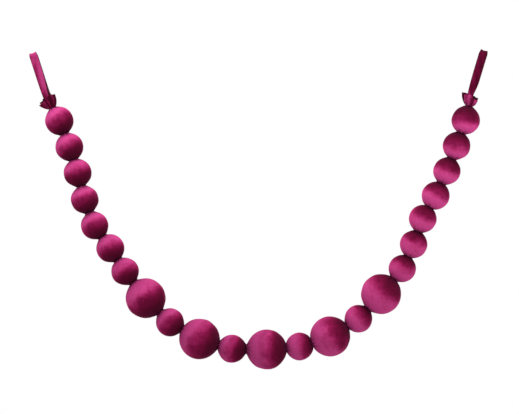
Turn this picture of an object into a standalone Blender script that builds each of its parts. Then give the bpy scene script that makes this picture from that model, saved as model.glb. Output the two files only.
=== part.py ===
"""A velvet ball garland: one velvet sleeve drawn over 23 firm balls, gathered and tied between them,
with a ribbon loop at each end. It hangs in a deep curve from the two loops.

Metres, with +Z up, +X from the left loop to the right one, and the front facing -Y. The origin is on
the underside of the left loop's crown. Lean angles are from the vertical, positive towards +X."""

from collections import namedtuple
from math import acos, atan2, cos, degrees, pi, radians, sin, sqrt

import bmesh
import bpy
from mathutils import Matrix, Vector

MM = 0.001
GAP = 0.3 * MM  # between pieces that touch

# The strand, from the left end to the right: the diameter of each ball in mm, how far it is pressed
# into the next one in mm, and the direction to that one in degrees above +X
Ball = namedtuple("Ball", "diameter press heading")
STRAND = (
    Ball(42.4, -0.1, -69.0),
    Ball(41.6, 1.0, -72.2),
    Ball(41.6, 0.0, -75.2),
    Ball(41.3, -0.6, -69.0),
    Ball(41.1, 0.2, -55.4),
    Ball(42.0, 0.5, -57.5),
    Ball(41.2, -0.2, -52.4),
    Ball(59.7, -0.5, -44.8),
    Ball(42.1, 0.6, -29.5),
    Ball(60.7, 0.5, -16.7),
    Ball(42.2, -0.9, -1.1),
    Ball(59.9, 1.2, 5.1),
    Ball(41.5, 2.4, 18.3),
    Ball(59.9, 0.6, 31.9),
    Ball(41.5, 0.5, 47.5),
    Ball(59.9, 0.7, 50.2),
    Ball(40.9, 0.8, 65.0),
    Ball(41.2, 0.6, 70.3),
    Ball(41.5, 2.1, 60.8),
    Ball(41.8, 0.7, 65.5),
    Ball(40.8, 0.5, 68.9),
    Ball(41.3, 0.9, 70.3),
    Ball(42.1, 0.0, 77.0),
)
LARGE_OVER = 50.0  # mm: a ball wider than this is one of the large ones
FIRST_CENTRE = Vector((39.5 * MM, 0.0, -100.5 * MM))
FIRST_LEAN = -27.0  # of the sleeve where it leaves the first ball

# The tied necks and their gathers
NECK_RADIUS = 6.5 * MM
NECK_HEIGHT = 0.3 * MM  # least step from a neck's end down to its foot on the ball
GATHER_DEPTH = 1.1 * MM
GATHER_REACH = 52.0  # degrees from the strand's axis to where the gathers die out
STRAIGHT_REACH = 30.0  # degrees round each neck that turn as one with it
Grid = namedtuple("Grid", "sides bands")  # round the strand's axis, and from neck to neck
SMALL_GRID = Grid(16, 12)
LARGE_GRID = Grid(20, 14)

# The flared ends of the sleeve
CLOTH = 1.2 * MM
THROAT_RADIUS = 4.8 * MM
CUP_POWER = 0.6  # 1 makes a collar a round cup, and less makes it more like a cone at its throat
FOLD_DEPTH = 0.3  # share of a fold's spread that is lost in the valley beside it
COLLAR_SIDES = 32
COLLAR_BANDS = 4
# The folds of each collar, in the order in which they go round it: the turn in degrees from its right
# side by way of its front, how far the rim stands out from the neck's axis, and how far along it
Fold = namedtuple("Fold", "turn spread rise")
LEFT_FOLDS = (
    Fold(0, 11.7 * MM, 17.3 * MM),
    Fold(50, 12.5 * MM, 17.5 * MM),
    Fold(92, 12.5 * MM, 17.0 * MM),
    Fold(130, 15.5 * MM, 12.5 * MM),
    Fold(166, 16.0 * MM, 12.0 * MM),
    Fold(198, 14.6 * MM, 16.2 * MM),
    Fold(230, 12.6 * MM, 19.8 * MM),
    Fold(300, 13.0 * MM, 19.0 * MM),
)
RIGHT_FOLDS = (
    Fold(46, 12.6 * MM, 9.3 * MM),
    Fold(108, 12.5 * MM, 16.6 * MM),
    Fold(145, 13.0 * MM, 16.0 * MM),
    Fold(178, 14.3 * MM, 17.8 * MM),
    Fold(222, 12.2 * MM, 18.8 * MM),
    Fold(265, 12.0 * MM, 18.8 * MM),
    Fold(302, 11.5 * MM, 17.0 * MM),
    Fold(342, 11.2 * MM, 14.9 * MM),
)

# The ribbon loops
RIBBON_WIDTH = 12.0 * MM
RIBBON_ROOT_WIDTH = 7.0 * MM
RIBBON_CROWN_WIDTH = 10.0 * MM
RIBBON_THICKNESS = 1.2 * MM
ROOT_HALF_GAP = 0.85 * MM  # from the middle of the loop to each leg, at its root
CROWN_RADIUS = 4.5 * MM
CROWN_DISH = 1.0 * MM  # how far the ribbon's edges stand above its middle at the crown
CROWN_SHARE = 0.3  # share of the ribbon's faces that go round the crown
RIBBON_GRID = (34, 4)  # faces along and across the ribbon
THROAT_TOP = 0.22  # share of a loop's height where its legs are clear of the collar
# Each loop's crown, the lean of its upper part, how far its upper part and its root pull on the curve
# between them, the share of its height where the ribbon has opened to its full width, and the edge
# that each leg keeps straight as it narrows below there: -1 for the left one, 1 for the right one
Loop = namedtuple("Loop", "crown lean upper_pull root_pull wide_from front_keeps back_keeps")
LEFT_LOOP = Loop(Vector((0.0, 0.0, 0.0)), -18.2, 56.0 * MM, 28.0 * MM, 0.95, -1, 1)
RIGHT_LOOP = Loop(Vector((676.4 * MM, 0.0, 3.9 * MM)), 16.9, 56.0 * MM, 30.0 * MM, 0.68, -1, -1)

Look = namedtuple("Look", "name colour roughness")
VELVET = Look("velvet", (0.33, 0.02, 0.13, 1.0), 0.85)
DARK_VELVET = Look("dark velvet", (0.13, 0.005, 0.04, 1.0), 0.9)
RIBBON_VELVET = Look("velvet ribbon", (0.36, 0.02, 0.15, 1.0), 0.8)


def clear_scene():
    for old in list(bpy.data.objects):
        bpy.data.objects.remove(old, do_unlink=True)


def new_collection(name):
    collection = bpy.data.collections.new(name)
    bpy.context.scene.collection.children.link(collection)
    return collection


def new_material(look):
    material = bpy.data.materials.new(look.name)
    material.use_nodes = True
    shader = material.node_tree.nodes["Principled BSDF"]
    shader.inputs["Base Color"].default_value = look.colour
    shader.inputs["Roughness"].default_value = look.roughness
    shader.inputs["Metallic"].default_value = 0.0
    return material


def new_object(name, shape):
    mesh = bpy.data.meshes.new(name)
    bmesh.ops.recalc_face_normals(shape, faces=shape.faces[:])
    shape.to_mesh(mesh)
    shape.free()
    mesh.shade_smooth()
    return bpy.data.objects.new(name, mesh)


def add_thickness(thing, thickness):
    solidify = thing.modifiers.new("Cloth thickness", "SOLIDIFY")
    solidify.thickness = thickness
    solidify.offset = 0.0
    solidify.use_even_offset = True


def smooth_step(value):
    t = min(max(value, 0.0), 1.0)
    return t * t * (3.0 - 2.0 * t)


def direction(heading):
    return Vector((cos(radians(heading)), 0.0, sin(radians(heading))))


def leaning(lean):
    return Vector((sin(radians(lean)), 0.0, cos(radians(lean))))


def ball_centres():
    """Each ball's centre, worked out along the strand from the first one."""
    centres = [FIRST_CENTRE]
    for ball, following in zip(STRAND, STRAND[1:]):
        step = ((ball.diameter + following.diameter) / 2 - ball.press) * MM
        centres.append(centres[-1] + step * direction(ball.heading))
    return centres


def neck_reach(diameter, press):
    """From a ball's centre to the end of the neck that meets its neighbour."""
    return (diameter - press) / 2 * MM - GAP / 2


def ring_place(ring, bands, radius, reach):
    """How far one ring of a ball lies from the strand's axis and along it, and its angle from that axis
    in degrees. Ring 0 is the middle of a neck's end, ring 1 the end's rim, ring 2 the neck's foot."""
    if ring == 0:
        return 0.0, reach, 0.0
    rim = max(NECK_RADIUS, sqrt(max(radius**2 - reach**2, 0.0)))
    if ring == 1:
        return rim, reach, 0.0
    foot = max(degrees(acos((reach - NECK_HEIGHT) / radius)), degrees(atan2(rim, reach)))
    angle = foot + (90.0 - foot) * (ring - 2) / (bands / 2 - 2)
    return radius * sin(radians(angle)), radius * cos(radians(angle)), angle


def gather_depth(angle, turn, gathers, phase):
    """How deep the sleeve is drawn in by the gathers round the nearest neck."""
    if angle == 0.0:
        return 0.0
    wave = 0.5 - 0.5 * cos(gathers * turn + phase)
    return GATHER_DEPTH * wave * (1.0 - smooth_step(angle / GATHER_REACH))


def ball_section(radius, grid, reach_in, reach_out, bend, phase):
    """One section of the sleeve over its ball, with the strand's axis along Z. The necks are turned
    about Y by half the bend each, towards the pieces that they meet."""
    shape = bmesh.new()
    bmesh.ops.create_uvsphere(shape, u_segments=grid.sides, v_segments=grid.bands, radius=1.0)
    for vertex in shape.verts:
        polar = degrees(acos(min(max(vertex.co.z, -1.0), 1.0)))
        turn = atan2(vertex.co.y, vertex.co.x)
        side = 1.0 if polar <= 90.0 else -1.0
        ring = round(min(polar, 180.0 - polar) * grid.bands / 180.0)
        reach = reach_out if side > 0 else reach_in
        out, along, angle = ring_place(ring, grid.bands, radius, reach)
        shrink = 1.0 - gather_depth(angle, turn, grid.sides / 2, phase) / radius
        place = shrink * Vector((out * cos(turn), out * sin(turn), side * along))
        from_axis = degrees(atan2(out, side * along))
        share = (from_axis - STRAIGHT_REACH) / (180.0 - 2 * STRAIGHT_REACH)
        turned = radians(bend) * (smooth_step(share) - 0.5)
        vertex.co = Matrix.Rotation(turned, 3, "Y") @ place
    return shape


def make_balls(centres):
    """The sections of the sleeve, each with its Z turned to run along the strand."""
    heading_in = -90.0 - FIRST_LEAN
    reach_in = STRAND[0].diameter / 2 * MM
    following = STRAND[1:] + STRAND[-1:]
    balls = []
    for number, (ball, next_ball) in enumerate(zip(STRAND, following)):
        is_last = ball is STRAND[-1]
        grid = LARGE_GRID if ball.diameter > LARGE_OVER else SMALL_GRID
        reach_out = ball.diameter / 2 * MM if is_last else neck_reach(ball.diameter, ball.press)
        bend = ball.heading - heading_in
        radius = ball.diameter / 2 * MM
        shape = ball_section(radius, grid, reach_in, reach_out, bend, pi * (number % 2))
        made = new_object(f"ball_{number + 1:02d}", shape)
        made.location = centres[number]
        made.rotation_euler = (0.0, radians(90.0 - (heading_in + ball.heading) / 2), 0.0)
        balls.append(made)
        heading_in = ball.heading
        reach_in = neck_reach(next_ball.diameter, ball.press)
    return balls


def rim_at(folds, turn):
    """The spread and rise of a collar's rim at this turn, and 0 on a fold to 1 in the valley."""
    for fold, following in zip(folds, folds[1:] + folds[:1]):
        width = (following.turn - fold.turn) % 360.0
        share = (turn - fold.turn) % 360.0 / width
        if share < 1.0:
            break
    blend = smooth_step(share)
    spread = fold.spread + blend * (following.spread - fold.spread)
    rise = fold.rise + blend * (following.rise - fold.rise)
    return spread, rise, 0.5 - 0.5 * cos(2 * pi * share)


def make_collar(name, folds, throat, lean):
    """The open end of the sleeve, which flares from its throat into a cup of folds."""
    shape = bmesh.new()
    profile = [shape.verts.new((1.0, 0.0, band / COLLAR_BANDS)) for band in range(COLLAR_BANDS + 1)]
    edges = [shape.edges.new(pair) for pair in zip(profile, profile[1:])]
    bmesh.ops.spin(
        shape,
        geom=profile + edges,
        cent=(0.0, 0.0, 0.0),
        axis=(0.0, 0.0, 1.0),
        angle=2 * pi,
        steps=COLLAR_SIDES,
        use_merge=True,
    )
    for vertex in shape.verts:
        turn = -degrees(atan2(vertex.co.y, vertex.co.x))
        share = vertex.co.z
        spread, rise, valley = rim_at(folds, turn)
        spread *= 1.0 - FOLD_DEPTH * valley * share
        out = THROAT_RADIUS + (spread - THROAT_RADIUS) * sin(share * pi / 2)
        along = GAP + CLOTH / 2 + rise * (1.0 - cos(share * pi / 2)) ** CUP_POWER
        vertex.co = (out * cos(radians(turn)), -out * sin(radians(turn)), along)
    collar = new_object(name, shape)
    collar.location = throat
    collar.rotation_euler = (0.0, radians(lean), 0.0)
    add_thickness(collar, CLOTH)
    return collar


def bezier(points, t):
    """A place on a cubic curve, and the curve's direction there."""
    a, b, c, d = points
    s = 1.0 - t
    place = s**3 * a + 3 * s**2 * t * b + 3 * s * t**2 * c + t**3 * d
    tangent = s**2 * (b - a) + 2 * s * t * (c - b) + t**2 * (d - c)
    return place, tangent.normalized()


def ribbon_station(t):
    """For a share of the way along the ribbon: the share of the loop's height from the root up, and the
    angle in degrees round the crown, which is 0 on the front leg and 180 on the back one."""
    leg = (1.0 - CROWN_SHARE) / 2
    if t < leg:
        return t / leg, 0.0
    if t > 1.0 - leg:
        return (1.0 - t) / leg, 180.0
    return 1.0, 180.0 * (t - leg) / CROWN_SHARE


def ribbon_width_and_shift(loop, height, angle):
    """The ribbon's width there, and how far its middle is off to the right of the loop's."""
    opened = smooth_step(height / loop.wide_from)
    width = RIBBON_ROOT_WIDTH + (RIBBON_WIDTH - RIBBON_ROOT_WIDTH) * opened
    keeps = loop.back_keeps if angle > 90.0 else loop.front_keeps
    shift = keeps * (RIBBON_WIDTH - width) / 2 * smooth_step(height / THROAT_TOP)
    return width - (RIBBON_WIDTH - RIBBON_CROWN_WIDTH) * sin(radians(angle)), shift


def make_loop(name, loop, throat, root_lean):
    """A ribbon doubled over into a loop: two legs that part from the root up, and a round crown."""
    top = loop.crown - (CROWN_RADIUS - RIBBON_THICKNESS / 2) * leaning(loop.lean)
    root = throat + GAP * leaning(root_lean)
    root_pull = root + loop.root_pull * leaning(root_lean)
    upper_pull = top - loop.upper_pull * leaning(loop.lean)
    shape = bmesh.new()
    bmesh.ops.create_grid(shape, x_segments=RIBBON_GRID[0], y_segments=RIBBON_GRID[1], size=0.5)
    for vertex in shape.verts:
        height, angle = ribbon_station(vertex.co.x + 0.5)
        place, up = bezier((root, root_pull, upper_pull, top), height)
        across = Vector((up.z, 0.0, -up.x))
        width, shift = ribbon_width_and_shift(loop, height, angle)
        half_gap = ROOT_HALF_GAP + (CROWN_RADIUS - ROOT_HALF_GAP) * height
        half_gap += CROWN_DISH * (2 * vertex.co.y) ** 2 * sin(radians(angle))
        place = place + across * (width * vertex.co.y + shift) + up * half_gap * sin(radians(angle))
        place.y -= half_gap * cos(radians(angle))
        vertex.co = place
    ribbon = new_object(name, shape)
    add_thickness(ribbon, RIBBON_THICKNESS)
    return ribbon


def make_garland():
    clear_scene()
    collection = new_collection("Velvet ball garland")
    velvet, dark_velvet, ribbon_velvet = map(new_material, (VELVET, DARK_VELVET, RIBBON_VELVET))
    centres = ball_centres()
    pieces = [(ball, velvet) for ball in make_balls(centres)]
    ends = (
        ("left", LEFT_FOLDS, LEFT_LOOP, centres[0], STRAND[0], FIRST_LEAN),
        ("right", RIGHT_FOLDS, RIGHT_LOOP, centres[-1], STRAND[-1], 90.0 - STRAND[-1].heading),
    )
    for side, folds, loop, centre, ball, lean in ends:
        throat = centre + ball.diameter / 2 * MM * leaning(lean)
        pieces.append((make_collar(f"collar_{side}", folds, throat, lean), dark_velvet))
        pieces.append((make_loop(f"loop_{side}", loop, throat, lean), ribbon_velvet))
    for piece, material in pieces:
        piece.data.materials.append(material)
        collection.objects.link(piece)


make_garland()
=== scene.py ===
"""The looks of a velvet ball garland: one velvet sleeve over 23 firm balls, gathered and tied between
them, with a pleated collar and a velvet ribbon loop at each end.

Metres, with +Z up, +X from the left loop to the right one, and the front facing -Y. The origin is on
the underside of the left loop's crown. Downstream is along the strand from its left end to its right.
The pile leans upstream, so each ball is bright on its upstream side and dark on its downstream side, a
sheen painted into its colour."""

from collections import namedtuple
from math import atan2, cos, degrees, pi, radians, sin

import bmesh
import bpy
import numpy as np
from mathutils import Matrix, Vector


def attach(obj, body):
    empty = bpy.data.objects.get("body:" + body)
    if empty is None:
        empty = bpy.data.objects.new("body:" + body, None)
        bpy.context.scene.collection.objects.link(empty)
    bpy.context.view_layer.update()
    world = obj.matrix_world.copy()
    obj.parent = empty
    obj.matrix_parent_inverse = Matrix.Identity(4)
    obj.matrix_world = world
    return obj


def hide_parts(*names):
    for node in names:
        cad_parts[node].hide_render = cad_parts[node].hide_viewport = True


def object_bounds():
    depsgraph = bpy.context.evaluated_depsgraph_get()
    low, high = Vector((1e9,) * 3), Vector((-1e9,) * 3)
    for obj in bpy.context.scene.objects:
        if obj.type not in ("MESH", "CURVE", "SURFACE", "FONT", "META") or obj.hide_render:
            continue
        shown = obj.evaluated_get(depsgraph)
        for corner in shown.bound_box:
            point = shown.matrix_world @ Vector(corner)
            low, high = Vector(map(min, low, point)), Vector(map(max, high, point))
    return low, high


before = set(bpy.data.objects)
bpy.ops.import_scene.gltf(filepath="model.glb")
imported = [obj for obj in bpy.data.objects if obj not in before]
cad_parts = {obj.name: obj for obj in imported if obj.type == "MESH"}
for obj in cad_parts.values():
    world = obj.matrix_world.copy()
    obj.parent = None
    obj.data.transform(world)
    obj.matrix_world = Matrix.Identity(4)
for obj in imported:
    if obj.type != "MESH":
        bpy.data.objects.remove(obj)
CAD_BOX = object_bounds()

MM = 0.001
GAP = 0.3 * MM  # between pieces that touch

# The photograph and its camera
PHOTO_WIDTH = 519
PHOTO_HEIGHT = 414
PIXEL = 1.5 * MM  # the real size of a pixel at the garland
ORIGIN_PIXEL = (33.0, 53.9)  # where the garland's origin shows
LENS = 100.0
SENSOR = 36.0

# The sleeve over the balls
BALL_COUNT = 23
LARGE_RADIUS_OVER = 25.0 * MM
PAINTED_SHINES = (1.15, 0.68, 1.3)  # painted sheen on the pile's bright side, stronger where the light falls along the pile, at the left end, the bottom and the right end
FIRST_LEAN = -27.0  # degrees from the vertical, of the sleeve above the first ball
LAST_LEAN = 13.0  # of the sleeve above the last one
Grid = namedtuple("Grid", "sides bands")  # round the strand's axis, and from neck to neck
SMALL_GRID = Grid(144, 76)
LARGE_GRID = Grid(176, 88)
CAP_RINGS = 2  # rings inside each neck's flat end
NECK_RADIUS = 6.8 * MM
NECK_SPACING = 1.35  # over 1 sets the rings closer together near the necks
FILLET_REACH = 13.0  # degrees past the neck's rim, where the cloth comes down onto the ball
STRAIGHT_REACH = 30.0  # degrees round each neck that turn as one with it
UNEVENNESS = 0.16 * MM
UNEVEN_LENGTH = 17.0 * MM  # of its waves
UNEVEN_REACH = 25.0  # degrees past the neck's rim, where it comes to its full size

# The shades of a ball, each as the share of the light that it takes
END_SHADE = 0.4  # towards the necks, where the neighbours stand in the light
NECK_SHADE = 0.35  # on a neck itself
NECK_SHADE_PARTS = 7.0  # that shade ends at one part in so many of the way to the ball's middle
CREASE_SHADE = 0.55  # at the bottom of a gather
DEEPEST_SHADE = 0.85  # the most that a neck and a gather take together
SHINE_FULL = -0.4  # the nap up to which the bright side has its whole painted shine
SHINE_FADE = 0.5  # how much further the nap goes before there is none

# Painted light and sheen on each ball, from the left end, partly from how unevenly its pile lies: how far
# its tone is shifted towards that of its tips, how far its slant turns aside, above 0 where the outer
# side of the curve is painted bright, and how much painted rim sheen brightens the inner and outer sides
# of the curve over the front and back
Brush = namedtuple("Brush", "shift twist rims")
PAINTED_SHEEN_BY_BALL = (
    Brush(0.03, 0.28, 0.00),
    Brush(0.05, 0.25, 0.10),
    Brush(0.10, 0.18, 0.00),
    Brush(0.05, 0.18, 0.00),
    Brush(0.08, 0.02, 0.25),
    Brush(0.11, -0.12, 0.30),
    Brush(0.15, -0.05, 0.25),
    Brush(0.10, -0.05, 0.15),
    Brush(0.15, -0.10, 0.30),
    Brush(0.15, -0.15, 0.30),
    Brush(0.13, -0.05, 0.45),
    Brush(-0.12, -0.05, 0.15),
    Brush(-0.20, 0.02, 0.10),
    Brush(-0.10, 0.05, 0.35),
    Brush(-0.25, -0.05, 0.25),
    Brush(-0.12, 0.00, 0.35),
    Brush(-0.15, 0.10, 0.25),
    Brush(-0.18, 0.00, 0.20),
    Brush(-0.12, 0.08, 0.25),
    Brush(-0.15, 0.02, 0.15),
    Brush(0.00, 0.10, 0.20),
    Brush(0.04, 0.15, 0.00),
    Brush(-0.03, 0.15, -0.10),
)
BAND_NAP = 0.07  # how far bands across the strand shift the nap
BAND_LENGTH = 0.62  # of a band's wave, as a change of the nap
BAND_SLANT = 0.15  # how far a band drifts in a radian round the ball
STREAK_NAP = 0.06  # how far broad streaks shift the nap
STREAK_LENGTH = 21.0 * MM
# Added to a ball's number to seed its upstream gathers, its bands and its streaks
UPSTREAM_SEED = 500
BAND_SEED = 50
STREAK_SEED = 90

# The gathers round each neck: how many, and the least and most of each size
GATHERS = 17
GATHER_JITTER = 0.33  # share of the step between two, by which each may be off its even place
GATHER_DRIFT = 0.012  # radians by which each may turn aside, for each degree from the neck
GATHER_DEPTHS = (0.5 * MM, 1.15 * MM)
GATHER_WIDTHS = (0.55 * MM, 0.95 * MM)
GATHER_REACHES = (30.0, 58.0)  # degrees from the strand's axis to where each dies out
GATHER_PUFF = 0.3 * MM  # how far the cloth stands out between them
PUFF_REACH = 30.0  # degrees past the neck's rim, where it no longer does

# The flared ends of the sleeve
CLOTH = 1.2 * MM
COLLAR_CLOTH = 0.9 * CLOTH  # as it is shown
THROAT_RADIUS = 4.8 * MM
CUP_POWER = 0.6  # 1 makes a collar a round cup, and less makes it more like a cone at its throat
FOLD_DEPTH = 0.34  # share of a fold's spread that is lost in the valley beside it
COLLAR_GRID = Grid(264, 34)
# The folds of each collar, in the order in which they go round it: the turn in degrees from its right
# side by way of its front, how far the rim stands out from the neck's axis, how far along it, and the
# nap of its crest, which sets the painted sheen there
Fold = namedtuple("Fold", "turn spread rise nap")
LEFT_FOLDS = (
    Fold(0, 11.7 * MM, 17.3 * MM, 0.30),
    Fold(50, 12.5 * MM, 17.5 * MM, 0.25),
    Fold(92, 12.5 * MM, 17.0 * MM, 0.10),
    Fold(130, 15.5 * MM, 12.5 * MM, -0.15),
    Fold(166, 16.0 * MM, 12.0 * MM, -0.15),
    Fold(198, 14.6 * MM, 16.2 * MM, 0.00),
    Fold(230, 12.6 * MM, 19.8 * MM, 0.20),
    Fold(300, 13.0 * MM, 19.0 * MM, 0.20),
)
RIGHT_FOLDS = (
    Fold(46, 12.6 * MM, 9.3 * MM, -0.55),
    Fold(108, 12.5 * MM, 15.2 * MM, -0.70),
    Fold(145, 13.0 * MM, 14.6 * MM, -0.55),
    Fold(178, 14.3 * MM, 17.8 * MM, 0.65),
    Fold(222, 12.2 * MM, 18.8 * MM, 0.60),
    Fold(265, 12.0 * MM, 18.8 * MM, 0.40),
    Fold(302, 11.5 * MM, 17.0 * MM, 0.40),
    Fold(342, 11.2 * MM, 14.9 * MM, 0.70),
)
# The flat size of each collar: the way round its mouth by way of the folds, and the mean way along
# the cloth from the throat to the rim
LEFT_CUT = (106.0 * MM, 18.5 * MM)
RIGHT_CUT = (98.0 * MM, 17.0 * MM)
PLEATS = 12  # broad and shallow, besides the folds
PLEAT_DEPTH = 0.7 * MM
PLEAT_STRETCH = 1.1  # over 1 ends the pleats below the rim
PLEAT_FADE = 0.4  # how much shallower they would be at the rim
PLEAT_WANDERS = ((6.0, 2), (5.0, 5))  # degrees off their even places, and how often that goes round
FRAY = 0.25 * MM  # how far the rim's edge wavers
FRAY_LENGTH = 9.0  # degrees round the rim
CREASE_NAP = 0.3  # painted shade: how much nearer to its tips, and so darker, the pile is painted between two pleats
VALLEY_NAP = 0.0125  # and the same painted shade between two folds, for each degree from one to the other
COLLAR_WAVE_NAP = 0.08  # how far broad waves shift the nap
COLLAR_WAVE_LENGTH = 9.0 * MM
COLLAR_WAVE_SEED = 5  # added to the end's seed
COLLAR_SHADE = 0.55  # share of the light that the bottom of a crease takes at the throat
COLLAR_SHADE_FADE = 0.4  # share of that shade that is gone at the rim

# The ribbon loops
RIBBON_WIDTH = 12.0 * MM
RIBBON_ROOT_WIDTH = 7.0 * MM
RIBBON_CROWN_WIDTH = 10.0 * MM
RIBBON_THICKNESS = 1.2 * MM
ROOT_HALF_GAP = 0.85 * MM  # from the middle of the loop to each leg, at its root
CROWN_RADIUS = 4.5 * MM
CROWN_DISH = 1.0 * MM  # how far the ribbon's edges stand above its middle at the crown
CROWN_SHARE = 0.3  # share of the ribbon's faces that go round the crown
RIBBON_GRID = (220, 18)  # faces along and across the ribbon
SELVEDGE = 0.7 * MM  # the bare woven edge, which has no pile
SELVEDGE_SHARE = 0.5  # of the ribbon's thickness
CHANNEL_DEPTH = 0.9 * MM  # of the fold along the ribbon, above its root
CHANNEL_WAVES = 1.5  # across the ribbon
# Shares of a loop's height from its root up
THROAT_TOP = 0.22  # where its legs are clear of the collar
CHANNEL_DEEPEST = 0.12
CHANNEL_TOP = 0.55
ROOT_SHADE_TOP = 0.3
# Shares of the light that is taken at the root, in the collar's shade, and at the bare edges
ROOT_SHADE = 0.15
SELVEDGE_SHADE = 0.35
# Each loop's crown, the lean of its upper part, how far its upper part and its root pull on the curve
# between them, the share of its height where the ribbon has opened to its full width, and the edge
# that each leg keeps straight as it narrows below there: -1 for the left one, 1 for the right one
Loop = namedtuple("Loop", "crown lean upper_pull root_pull wide_from front_keeps back_keeps")
LEFT_LOOP = Loop(Vector((0.0, 0.0, 0.0)), -18.2, 56.0 * MM, 28.0 * MM, 0.95, -1, 1)
RIGHT_LOOP = Loop(Vector((676.4 * MM, 0.0, 3.9 * MM)), 16.9, 56.0 * MM, 30.0 * MM, 0.68, -1, -1)
# The nap on each ribbon's crown, upper part and lower part, which sets their painted sheen, the share of
# its height where the lower part ends, and what the nap gains from the ribbon's left edge to its right
# one
Lie = namedtuple("Lie", "crown upper lower low_top across")
LEFT_LIE = Lie(-0.50, -0.20, 0.14, 0.75, -0.45)
RIGHT_LIE = Lie(1.00, 0.42, -0.25, 0.50, 0.40)
RIBBON_WAVE_NAP = 0.09  # how far broad waves shift the nap
RIBBON_WAVE_LENGTH = 7.0 * MM
RIBBON_WAVE_SQUEEZE = (1.0, 1.0, 0.25)  # makes the waves longer up the ribbon than across it
LOOP_SEED = 10  # added to the end's seed

# What is above the first and the last ball
End = namedtuple("End", "side ball lean folds cut loop lie seed")
ENDS = (
    End("left", 1, FIRST_LEAN, LEFT_FOLDS, LEFT_CUT, LEFT_LOOP, LEFT_LIE, 71),
    End("right", BALL_COUNT, LAST_LEAN, RIGHT_FOLDS, RIGHT_CUT, RIGHT_LOOP, RIGHT_LIE, 72),
)

# The floor, well below the hanging garland
FLOOR_HEIGHT = -0.75
FLOOR_RADIUS = 1.2
FLOOR_SIDES = 96
FLOOR_TONES = (0.57, 0.60)  # of its darker and its lighter patches

# The light, with each lamp's place taken from the middle of the garland
SURROUND_STRENGTH = 0.85  # of the even light from all sides
Lamp = namedtuple("Lamp", "name place size power")
LAMPS = (
    Lamp("overhead softbox", Vector((0.2, -0.8, 2.9)), 2.0, 60.0),
    Lamp("front softbox", Vector((0.8, -2.2, 0.3)), 1.2, 3.0),
    Lamp("back softbox", Vector((-0.8, 2.2, 0.3)), 1.2, 3.0),
)


def smooth_step(value):
    t = np.clip(value, 0.0, 1.0)
    return t * t * (3.0 - 2.0 * t)


def mix(start, end, share):
    return start + (end - start) * share


def leaning(lean):
    return Vector((sin(radians(lean)), 0.0, cos(radians(lean))))


def mesh_points(mesh):
    points = np.empty(len(mesh.vertices) * 3)
    mesh.vertices.foreach_get("co", points)
    return points.reshape(-1, 3)


def set_points(mesh, points):
    mesh.vertices.foreach_set("co", points.astype(np.float32).ravel())
    mesh.update()


def set_attribute(mesh, name, values):
    attribute = mesh.attributes.new(name, "FLOAT", "POINT")
    attribute.data.foreach_set("value", values.astype(np.float32))


def new_piece(name, mesh, materials, node):
    """A shown piece that stands for a node of the frame."""
    piece = bpy.data.objects.new(name, mesh)
    bpy.context.scene.collection.objects.link(piece)
    for material in materials:
        mesh.materials.append(material)
    mesh.shade_smooth()
    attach(piece, "root")
    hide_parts(node)
    return piece


# Materials


class Nodes:
    """Adds and links a material's nodes."""

    def __init__(self, name):
        self.material = bpy.data.materials.new(name)
        self.material.use_nodes = True
        self.tree = self.material.node_tree
        self.shader = self.tree.nodes["Principled BSDF"]
        self.place = self.tree.nodes.new("ShaderNodeTexCoord").outputs["Object"]

    def add(self, kind, inputs=(), **settings):
        node = self.tree.nodes.new(kind)
        for key, value in settings.items():
            setattr(node, key, value)
        for key, value in dict(inputs).items():
            self.put(node.inputs[key], value)
        return node

    def put(self, socket, value):
        if isinstance(value, bpy.types.NodeSocket):
            self.tree.links.new(value, socket)
        else:
            socket.default_value = value

    def noise(self, scale, detail=2.0, roughness=0.5):
        inputs = {"Vector": self.place, "Scale": scale, "Detail": detail, "Roughness": roughness}
        return self.add("ShaderNodeTexNoise", inputs).outputs["Fac"]

    def math(self, operation, *values):
        return self.add("ShaderNodeMath", enumerate(values), operation=operation).outputs[0]

    def spread(self, value, low, high, span=(0.0, 1.0)):
        """The value, which goes over the span, as one from low to high."""
        inputs = {"Value": value, "From Min": span[0], "From Max": span[1], "To Min": low, "To Max": high}
        return self.add("ShaderNodeMapRange", inputs).outputs["Result"]

    def attribute(self, name):
        return self.add("ShaderNodeAttribute", attribute_name=name).outputs["Fac"]

    def ramp(self, value, stops):
        node = self.add("ShaderNodeValToRGB", {"Fac": value})
        elements = node.color_ramp.elements
        while len(elements) < len(stops):
            elements.new(0.5)
        for element, (position, colour) in zip(elements, stops):
            element.position = position
            element.color = (*colour, 1.0)
        return node.outputs["Color"]

    def scaled(self, colour, value):
        inputs = {0: colour, "Scale": value}
        return self.add("ShaderNodeVectorMath", inputs, operation="SCALE").outputs["Vector"]

    def bump(self, height, distance, strength=0.5):
        inputs = {"Height": height, "Distance": distance, "Strength": strength}
        return self.add("ShaderNodeBump", inputs).outputs["Normal"]

    def finished(self, inputs):
        """The material, with these inputs of its surface."""
        for key, value in inputs.items():
            self.put(self.shader.inputs[key], value)
        return self.material


# The scales of the velvet's noises, from broad to fine, and how far each takes the nap or the light
DRIFT_SCALE = 90.0
RUFFLE_SCALE = 210.0
RUFFLE = 0.10
MOTTLE_SCALE = 420.0
MOTTLE = (0.68, 1.32)
GRAIN = (0.84, 1.16)
# Painted sheen: the velvet's colour from where the pile is seen side-on, at 0, to where it is seen tips
# first, at 1
VELVET_SHEEN_TONES = (
    (0.000, (0.560, 0.0560, 0.2350)),
    (0.150, (0.570, 0.0570, 0.2400)),
    (0.250, (0.560, 0.0550, 0.2280)),
    (0.350, (0.460, 0.0370, 0.1680)),
    (0.425, (0.360, 0.0210, 0.1200)),
    (0.500, (0.262, 0.0110, 0.0760)),
    (0.575, (0.187, 0.0058, 0.0485)),
    (0.650, (0.132, 0.0035, 0.0310)),
    (0.725, (0.102, 0.0028, 0.0230)),
    (0.800, (0.083, 0.0026, 0.0187)),
    (0.875, (0.070, 0.0028, 0.0175)),
    (1.000, (0.072, 0.0036, 0.0195)),
)


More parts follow.
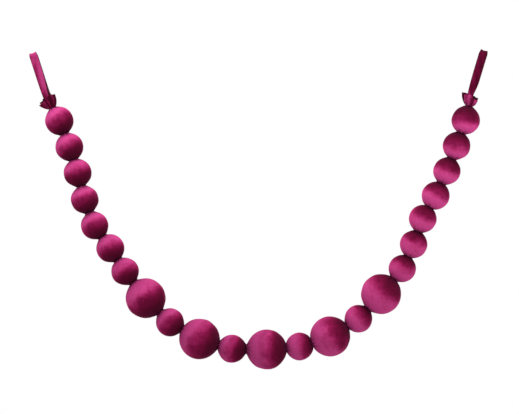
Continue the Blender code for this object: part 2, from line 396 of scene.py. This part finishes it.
def velvet(name, pile_scale=1400.0, sheen=0.4, drift=0.08):
    """Velvet, whose tone follows the nap attribute, from -1 upstream to 1 downstream, as painted sheen,
    and whose light is scaled by the shade attribute, as painted shade and shine."""
    nodes = Nodes(name)
    nap = nodes.spread(nodes.attribute("nap"), 0.0, 1.0, (-1.0, 1.0))
    brushed = nodes.spread(nodes.noise(DRIFT_SCALE), -drift, drift)
    ruffled = nodes.spread(nodes.noise(RUFFLE_SCALE), -RUFFLE, RUFFLE)
    lie = nodes.math("ADD", nap, nodes.math("ADD", brushed, ruffled))
    # painted sheen: the ramp paints the pile's bright side and dark side into the base colour
    colour = nodes.ramp(lie, VELVET_SHEEN_TONES)
    mottle = nodes.spread(nodes.noise(MOTTLE_SCALE, 3.0, 0.6), *MOTTLE)
    grain = nodes.spread(nodes.noise(pile_scale, 2.0, 0.6), *GRAIN)
    light = nodes.math("MULTIPLY", nodes.math("MULTIPLY", mottle, grain), nodes.attribute("shade"))
    inputs = {
        "Base Color": nodes.scaled(colour, light),
        "Normal": nodes.bump(nodes.noise(pile_scale), 0.25 * MM),
        "Roughness": 0.9,
        "Specular IOR Level": 0.03,
        "Sheen Weight": sheen,
        "Sheen Roughness": 0.3,
        "Sheen Tint": (1.0, 0.12, 0.45, 1.0),
    }
    return nodes.finished(inputs)


# From the deepest painted shade, at 0, to full light, at 1; both darker than the pile, partly the plain
# weave's own colour and partly painted shade inside the collars and loops
BACK_TONES = (
    (0.0, (0.030, 0.002, 0.010)),
    (1.0, (0.085, 0.006, 0.026)),
)


def woven_back(name):
    """The plain back of the cloth, which shows inside the collars and the loops, kept dark with painted
    shade.
    """
    nodes = Nodes(name)
    thread = nodes.spread(nodes.noise(1100.0, 2.0, 0.7), 0.7, 1.3)
    base = nodes.ramp(nodes.attribute("shade"), BACK_TONES)
    inputs = {
        "Base Color": nodes.scaled(base, thread),
        "Normal": nodes.bump(nodes.noise(1800.0), 0.15 * MM),
        "Roughness": 0.75,
        "Specular IOR Level": 0.25,
    }
    return nodes.finished(inputs)


def floor_paint(name):
    nodes = Nodes(name)
    colour = nodes.scaled((1.0, 1.0, 1.0), nodes.spread(nodes.noise(6.0), *FLOOR_TONES))
    return nodes.finished({"Base Color": colour, "Roughness": 0.9})


# The sleeve over the balls


def ball_name(number):
    return f"ball_{number:02d}"


def ball_of(number):
    """A ball's centre and radius. Its foremost vertex is straight in front of its centre."""
    points = mesh_points(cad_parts[ball_name(number)].data)
    foremost = points[points[:, 1].argmin()]
    return Vector((foremost[0], 0.0, foremost[2])), float(-foremost[1])


def wave_field(points, length, seed, count=7):
    """An even, smooth field from about -1 to 1 over the points, with waves of about that length."""
    random = np.random.default_rng(seed)
    ways = random.normal(size=(count, 3))
    ways *= (2 * pi / length) / np.linalg.norm(ways, axis=1, keepdims=True)
    phases = random.uniform(0.0, 2 * pi, count)
    return np.cos(points @ ways.T + phases).sum(axis=1) / np.sqrt(count)


def gathered(turn, angle, out, rim_angle, seed):
    """How deep each point lies in the gathers round a neck, as a height, and as a share from 0 to 1."""
    random = np.random.default_rng(seed)
    height = np.zeros_like(turn)
    inside = np.zeros_like(turn)
    for number in range(GATHERS):
        start = (number + random.uniform(-GATHER_JITTER, GATHER_JITTER)) * 2 * pi / GATHERS
        drift = random.uniform(-GATHER_DRIFT, GATHER_DRIFT)
        depth = random.uniform(*GATHER_DEPTHS)
        width = random.uniform(*GATHER_WIDTHS)
        reach = mix(*GATHER_REACHES, random.uniform() ** 2)
        away = (turn - start - drift * (angle - rim_angle) + pi) % (2 * pi) - pi
        share = np.clip((angle - rim_angle) / (reach - rim_angle), 0.0, 1.0)
        groove = np.exp(-((np.abs(away) * out / (width * (1.0 + share))) ** 2))
        groove *= 1.0 - smooth_step(share)
        height -= depth * groove
        inside = np.maximum(inside, groove)
    puff = GATHER_PUFF * (1.0 - smooth_step((angle - rim_angle) / PUFF_REACH))
    return height + puff * (1.0 - inside), inside


def sleeve_section(mesh, grid, radius, reach_in, reach_out, bend, seed):
    """Shapes a unit sphere into one section of the sleeve, with the strand's axis along Z. Returns each
    point's nap, from -1 upstream to 1 downstream, how deep it lies in a crease, from 0 to 1, its share of
    the way from the nearer neck to the ball's middle, and its turn round the axis."""
    points = mesh_points(mesh)
    polar = np.degrees(np.arccos(np.clip(points[:, 2], -1.0, 1.0)))
    turn = np.arctan2(points[:, 1], points[:, 0])
    side = np.where(polar <= 90.0, 1.0, -1.0)
    ring = np.rint(np.minimum(polar, 180.0 - polar) * grid.bands / 180.0)
    reach = np.where(side > 0, reach_out, reach_in)
    rim_angle = degrees(np.arcsin(NECK_RADIUS / radius))
    share = np.clip((ring - CAP_RINGS) / (grid.bands / 2 - CAP_RINGS), 0.0, 1.0)
    angle = rim_angle + (90.0 - rim_angle) * share**NECK_SPACING
    out = radius * np.sin(np.radians(angle))
    fillet = 1.0 - np.clip((angle - rim_angle) / FILLET_REACH, 0.0, 1.0)
    along = radius * np.cos(np.radians(angle))
    along += (reach - radius * cos(radians(rim_angle))) * fillet**2

    height = np.zeros_like(turn)
    crease = np.zeros_like(turn)
    for half, half_seed in ((1.0, seed), (-1.0, seed + UPSTREAM_SEED)):
        here = side == half
        height[here], crease[here] = gathered(turn[here], angle[here], out[here], rim_angle, half_seed)
    shrink = 1.0 + height / np.hypot(out, along)
    along = np.where(share == 0.0, reach, along * shrink)
    out = out * shrink
    out *= np.minimum(ring / CAP_RINGS, 1.0)
    place = np.stack((out * np.cos(turn), out * np.sin(turn), side * along), axis=1)
    uneven = wave_field(place, UNEVEN_LENGTH, seed) * UNEVENNESS
    uneven *= smooth_step((angle - rim_angle) / UNEVEN_REACH)
    place *= (1.0 + uneven / radius)[:, None]

    from_axis = np.degrees(np.arctan2(out, side * along))
    nap = np.cos(np.radians(from_axis))
    turned = (from_axis - STRAIGHT_REACH) / (180.0 - 2 * STRAIGHT_REACH)
    turned = np.radians(bend) * (smooth_step(turned) - 0.5)
    bent = place.copy()
    bent[:, 0] = place[:, 0] * np.cos(turned) + place[:, 2] * np.sin(turned)
    bent[:, 2] = place[:, 2] * np.cos(turned) - place[:, 0] * np.sin(turned)
    set_points(mesh, bent)
    return nap, crease, share, turn


def brushed_nap(nap, turn, place, seed):
    """The nap with broad bands and streaks, as the pile lies unevenly."""
    banded = np.stack((nap, turn * BAND_SLANT, np.zeros_like(turn)), axis=1)
    bands = wave_field(banded, BAND_LENGTH, seed + BAND_SEED)
    streaks = wave_field(place, STREAK_LENGTH, seed + STREAK_SEED)
    return nap + BAND_NAP * bands + STREAK_NAP * streaks


def ball_shade(number, nap, towards_necks, crease, share):
    """The share of its light that each point of a ball keeps, as painted shade, or over 1 where painted
    sheen brightens the pile.
    """
    along_strand = (number - 1) / (BALL_COUNT - 1)
    shine = np.interp(along_strand, (0.0, 0.5, 1.0), PAINTED_SHINES)
    # painted sheen on the bright side, fading out towards the dark side
    shade = mix(shine, 1.0, smooth_step((nap - SHINE_FULL) / SHINE_FADE))
    shade *= 1.0 - END_SHADE * towards_necks
    near_neck = 1.0 - smooth_step(share * NECK_SHADE_PARTS)
    taken = np.clip(CREASE_SHADE * crease + NECK_SHADE * near_neck, 0.0, DEEPEST_SHADE)
    return shade * (1.0 - taken)


def make_ball(number, radius, centre, reaches, headings, material):
    """One section of the sleeve. Its headings are those of its two necks, in degrees above +X."""
    grid = LARGE_GRID if radius > LARGE_RADIUS_OVER else SMALL_GRID
    shape = bmesh.new()
    bmesh.ops.create_uvsphere(shape, u_segments=grid.sides, v_segments=grid.bands, radius=1.0)
    name = f"{ball_name(number)}_sleeve"
    mesh = bpy.data.meshes.new(name)
    shape.to_mesh(mesh)
    shape.free()
    bend = headings[1] - headings[0]
    nap, crease, share, turn = sleeve_section(mesh, grid, radius, *reaches, bend, number)
    local = mesh_points(mesh)
    lean = radians(90.0 - (headings[0] + headings[1]) / 2)
    mesh.transform(Matrix.Translation(centre) @ Matrix.Rotation(lean, 4, "Y"))

    ball_sheen = PAINTED_SHEEN_BY_BALL[number - 1]
    towards_necks = nap**4
    across = local[:, 0] / radius
    # painted light and sheen: each ball's tone shift, painted brighter side and painted bright rims
    nap += ball_sheen.shift - ball_sheen.twist * across - ball_sheen.rims * across**2
    set_attribute(mesh, "nap", brushed_nap(nap, turn, local, number))
    set_attribute(mesh, "shade", ball_shade(number, nap, towards_necks, crease, share))
    piece = new_piece(name, mesh, [material], ball_name(number))


def make_balls(material):
    """The sections of the sleeve, worked out from where the frame's balls are."""
    places = [ball_of(number) for number in range(1, BALL_COUNT + 1)]
    heading_in = -90.0 - FIRST_LEAN
    reach_in = places[0][1]
    for number, (centre, radius) in enumerate(places, start=1):
        heading = 90.0 - LAST_LEAN
        reach = radius
        next_reach = radius
        if number < BALL_COUNT:
            next_centre, next_radius = places[number]
            way = next_centre - centre
            heading = degrees(atan2(way.z, way.x))
            reach = (way.length + radius - next_radius) / 2
            next_reach = way.length - reach
        make_ball(number, radius, centre, (reach_in, reach), (heading_in, heading), material)
        heading_in = heading
        reach_in = next_reach


# The collars


def rim_at(folds, turn):
    """The spread, rise and nap of a collar's rim at this turn, and 0 on a fold to 1 in the valley."""
    for fold, following in zip(folds, folds[1:] + folds[:1]):
        width = (following.turn - fold.turn) % 360.0
        share = (turn - fold.turn) % 360.0 / width
        if share < 1.0:
            break
    blend = smooth_step(share)
    spread = mix(fold.spread, following.spread, blend)
    rise = mix(fold.rise, following.rise, blend)
    valley = 0.5 - 0.5 * cos(2 * pi * share)
    nap = mix(fold.nap, following.nap, blend) + VALLEY_NAP * width * valley
    return spread, rise, nap, valley


def open_tube(name, grid):
    """A tube round Z with a radius of 1, from 0 to 1 along it."""
    shape = bmesh.new()
    profile = [shape.verts.new((1.0, 0.0, band / grid.bands)) for band in range(grid.bands + 1)]
    edges = [shape.edges.new(pair) for pair in zip(profile, profile[1:])]
    bmesh.ops.spin(
        shape,
        geom=profile + edges,
        cent=(0.0, 0.0, 0.0),
        axis=(0.0, 0.0, 1.0),
        angle=2 * pi,
        steps=grid.sides,
        use_merge=True,
    )
    bmesh.ops.recalc_face_normals(shape, faces=shape.faces[:])
    mesh = bpy.data.meshes.new(name)
    shape.to_mesh(mesh)
    shape.free()
    return mesh


def pleats_at(turn, seed):
    """The pleats round a collar, from -1 between two to 1 on the crest of one."""
    random = np.random.default_rng(seed)
    wander = np.zeros_like(turn)
    for size, times in PLEAT_WANDERS:
        wander += size * np.sin(np.radians(turn * times + random.uniform(0, 360)))
    return np.cos(np.radians(turn + wander) * PLEATS)


def make_collar(end, throat, materials):
    """The open end of the sleeve, which flares from its throat into a cup of folds and pleats."""
    node = f"collar_{end.side}"
    mesh = open_tube(f"{node}_velvet", COLLAR_GRID)
    points = mesh_points(mesh)
    turn = -np.degrees(np.arctan2(points[:, 1], points[:, 0]))
    share = points[:, 2]
    spread, rise, nap, valley = np.array([rim_at(end.folds, t) for t in turn]).T
    pleat = pleats_at(turn, end.seed)
    spread *= 1.0 - FOLD_DEPTH * valley * share
    out = THROAT_RADIUS + (spread - THROAT_RADIUS) * np.sin(share * pi / 2)
    pleated = np.sin(pi * np.minimum(share * PLEAT_STRETCH, 1.0)) * (1.0 - PLEAT_FADE * share)
    out += PLEAT_DEPTH * pleat * pleated
    round_rim = np.stack((turn, np.zeros_like(turn), np.zeros_like(turn)), axis=1)
    rise += FRAY * share * wave_field(round_rim, FRAY_LENGTH, end.seed)
    along = CLOTH / 2 + GAP + rise * (1.0 - np.cos(share * pi / 2)) ** CUP_POWER
    around = np.radians(turn)
    place = np.stack((out * np.cos(around), -out * np.sin(around), along), axis=1)
    set_points(mesh, place)
    mesh.transform(Matrix.Translation(throat) @ Matrix.Rotation(radians(end.lean), 4, "Y"))

    waves = wave_field(place, COLLAR_WAVE_LENGTH, end.seed + COLLAR_WAVE_SEED)
    crest = 0.5 + 0.5 * pleat
    # painted shade in the creases between pleats, through a nap nearer the pile's tips
    nap += CREASE_NAP * (1.0 - crest) + COLLAR_WAVE_NAP * waves
    ridge = mix(1.0 - valley, crest, 0.5)
    shade = 1.0 - COLLAR_SHADE * (1.0 - ridge) * (1.0 - COLLAR_SHADE_FADE * share)
    set_attribute(mesh, "nap", nap)
    set_attribute(mesh, "shade", shade)
    collar = new_piece(f"{node}_velvet", mesh, materials, node)
    add_thickness(collar, COLLAR_CLOTH)


def add_thickness(piece, thickness, group=""):
    solidify = piece.modifiers.new("Cloth thickness", "SOLIDIFY")
    solidify.thickness = thickness
    solidify.offset = 0.0
    solidify.use_even_offset = True
    solidify.material_offset = 1
    solidify.material_offset_rim = 0
    solidify.vertex_group = group


# The ribbon loops


def bezier(points, t):
    """A place on a cubic curve, and the curve's direction there."""
    a, b, c, d = points
    s = 1.0 - t
    place = s**3 * a + 3 * s**2 * t * b + 3 * s * t**2 * c + t**3 * d
    tangent = s**2 * (b - a) + 2 * s * t * (c - b) + t**2 * (d - c)
    return place, tangent.normalized()


def ribbon_station(t):
    """For a share of the way along the ribbon: the share of the loop's height from the root up, and the
    angle in degrees round the crown, which is 0 on the front leg and 180 on the back one."""
    leg = (1.0 - CROWN_SHARE) / 2
    if t < leg:
        return t / leg, 0.0
    if t > 1.0 - leg:
        return (1.0 - t) / leg, 180.0
    return 1.0, 180.0 * (t - leg) / CROWN_SHARE


def ribbon_width_and_shift(loop, height, angle):
    """The ribbon's width there, and how far its middle is off to the right of the loop's."""
    width = mix(RIBBON_ROOT_WIDTH, RIBBON_WIDTH, smooth_step(height / loop.wide_from))
    keeps = loop.back_keeps if angle > 90.0 else loop.front_keeps
    shift = keeps * (RIBBON_WIDTH - width) / 2 * smooth_step(height / THROAT_TOP)
    return width - (RIBBON_WIDTH - RIBBON_CROWN_WIDTH) * sin(radians(angle)), shift


def channel(height, across):
    """The soft lengthwise fold of a ribbon that narrows into its throat. Both legs share it."""
    fade_in = smooth_step(height / CHANNEL_DEEPEST)
    fade_out = smooth_step((height - CHANNEL_DEEPEST) / (CHANNEL_TOP - CHANNEL_DEEPEST))
    return CHANNEL_DEPTH * fade_in * (1.0 - fade_out) * cos(2 * pi * CHANNEL_WAVES * across)


def ribbon_mesh(name, loop, root, root_lean):
    """The ribbon's outer face. With it come each point's height, as a share of the loop's, its angle
    round the crown, its place across the ribbon from -0.5 to 0.5, and its way in from the nearer edge,
    as a share of the selvedge."""
    top = loop.crown - (CROWN_RADIUS - RIBBON_THICKNESS / 2) * leaning(loop.lean)
    root_pull = root + loop.root_pull * leaning(root_lean)
    upper_pull = top - loop.upper_pull * leaning(loop.lean)
    shape = bmesh.new()
    bmesh.ops.create_grid(shape, x_segments=RIBBON_GRID[0], y_segments=RIBBON_GRID[1], size=0.5)
    rows = []
    for vertex in shape.verts:
        height, angle = ribbon_station(vertex.co.x + 0.5)
        across = vertex.co.y
        place, up = bezier((root, root_pull, upper_pull, top), height)
        to_right = Vector((up.z, 0.0, -up.x))
        width, shift = ribbon_width_and_shift(loop, height, angle)
        half_gap = mix(ROOT_HALF_GAP, CROWN_RADIUS, height)
        half_gap += CROWN_DISH * (2 * across) ** 2 * sin(radians(angle))
        place = place + to_right * (width * across + shift) + up * half_gap * sin(radians(angle))
        place.y -= half_gap * cos(radians(angle))
        place.y += channel(height, across)
        rows.append((height, angle, across, (0.5 - abs(across)) * width / SELVEDGE))
        vertex.co = place
    bmesh.ops.reverse_faces(shape, faces=shape.faces[:])
    mesh = bpy.data.meshes.new(name)
    shape.to_mesh(mesh)
    shape.free()
    return mesh, np.array(rows).T


def make_loop(end, throat, materials):
    """A ribbon doubled over into a loop: two legs that part from the root up, and a round crown."""
    node = f"loop_{end.side}"
    root = throat + GAP * leaning(end.lean)
    mesh, rows = ribbon_mesh(f"{node}_ribbon", end.loop, root, end.lean)
    height, angle, across, from_edge = rows
    pile = np.clip(from_edge, 0.0, 1.0)
    lie = end.lie
    # painted sheen of the ribbon, given part by part
    nap = mix(lie.lower, lie.upper, smooth_step(height / lie.low_top)) + lie.across * across
    nap = mix(nap, lie.crown, np.sin(np.radians(angle)))
    squeezed = mesh_points(mesh) * RIBBON_WAVE_SQUEEZE
    nap += RIBBON_WAVE_NAP * wave_field(squeezed, RIBBON_WAVE_LENGTH, end.seed + LOOP_SEED)
    near_root = 1.0 - smooth_step(height / ROOT_SHADE_TOP)
    set_attribute(mesh, "nap", nap)
    set_attribute(mesh, "shade", 1.0 - SELVEDGE_SHADE * (1.0 - pile) - ROOT_SHADE * near_root)
    ribbon = new_piece(f"{node}_ribbon", mesh, materials, node)
    group = ribbon.vertex_groups.new(name="pile")
    for index, share in enumerate(pile):
        group.add([index], mix(SELVEDGE_SHARE, 1.0, smooth_step(share)), "REPLACE")
    add_thickness(ribbon, RIBBON_THICKNESS, "pile")


# The room


def make_floor():
    bpy.ops.mesh.primitive_circle_add(vertices=FLOOR_SIDES, radius=FLOOR_RADIUS, fill_type="NGON")
    floor = bpy.context.object
    floor.name = "floor"
    floor.location = ((CAD_BOX[0].x + CAD_BOX[1].x) / 2, 0.0, FLOOR_HEIGHT)
    floor.data.materials.append(floor_paint("pale floor"))


def make_world():
    """White to look at, and a softer even light on the garland."""
    world = bpy.data.worlds.new("pale studio")
    bpy.context.scene.world = world
    world.use_nodes = True
    tree = world.node_tree
    lit = tree.nodes["Background"]
    lit.inputs["Color"].default_value = (1.0, 1.0, 1.0, 1.0)
    lit.inputs["Strength"].default_value = SURROUND_STRENGTH
    seen = tree.nodes.new("ShaderNodeBackground")
    seen.inputs["Color"].default_value = (1.0, 1.0, 1.0, 1.0)
    seen.inputs["Strength"].default_value = 1.0
    path = tree.nodes.new("ShaderNodeLightPath")
    blend = tree.nodes.new("ShaderNodeMixShader")
    tree.links.new(path.outputs["Is Camera Ray"], blend.inputs["Fac"])
    tree.links.new(lit.outputs["Background"], blend.inputs[1])
    tree.links.new(seen.outputs["Background"], blend.inputs[2])
    tree.links.new(blend.outputs["Shader"], tree.nodes["World Output"].inputs["Surface"])


def make_lights():
    middle = (CAD_BOX[0] + CAD_BOX[1]) / 2
    for lamp in LAMPS:
        light = bpy.data.lights.new(lamp.name, "AREA")
        light.shape = "DISK"
        light.size = lamp.size
        light.energy = lamp.power
        holder = bpy.data.objects.new(lamp.name, light)
        holder.location = middle + lamp.place
        holder.rotation_euler = (-lamp.place).to_track_quat("-Z", "Y").to_euler()
        bpy.context.scene.collection.objects.link(holder)


def make_camera():
    data = bpy.data.cameras.new("camera")
    data.sensor_width = SENSOR
    data.lens = LENS
    camera = bpy.data.objects.new("camera", data)
    shown = PHOTO_WIDTH * PIXEL
    x = (PHOTO_WIDTH / 2 - ORIGIN_PIXEL[0]) * PIXEL
    z = -(PHOTO_HEIGHT / 2 - ORIGIN_PIXEL[1]) * PIXEL
    camera.location = (x, -shown * LENS / SENSOR, z)
    camera.rotation_euler = (pi / 2, 0.0, 0.0)
    bpy.context.scene.collection.objects.link(camera)
    bpy.context.scene.camera = camera


def make_garland():
    make_balls(velvet("velvet"))
    collar_cloth = velvet("collar velvet", drift=0.1)
    ribbon_cloth = velvet("ribbon velvet", pile_scale=1700.0, sheen=0.15)
    back = woven_back("woven back")
    for end in ENDS:
        centre, radius = ball_of(end.ball)
        throat = centre + radius * leaning(end.lean)
        make_collar(end, throat, [collar_cloth, back])
        make_loop(end, throat, [ribbon_cloth, back])


bpy.context.scene.view_settings.view_transform = "Standard"
make_camera()
make_world()
make_lights()
make_floor()
make_garland()
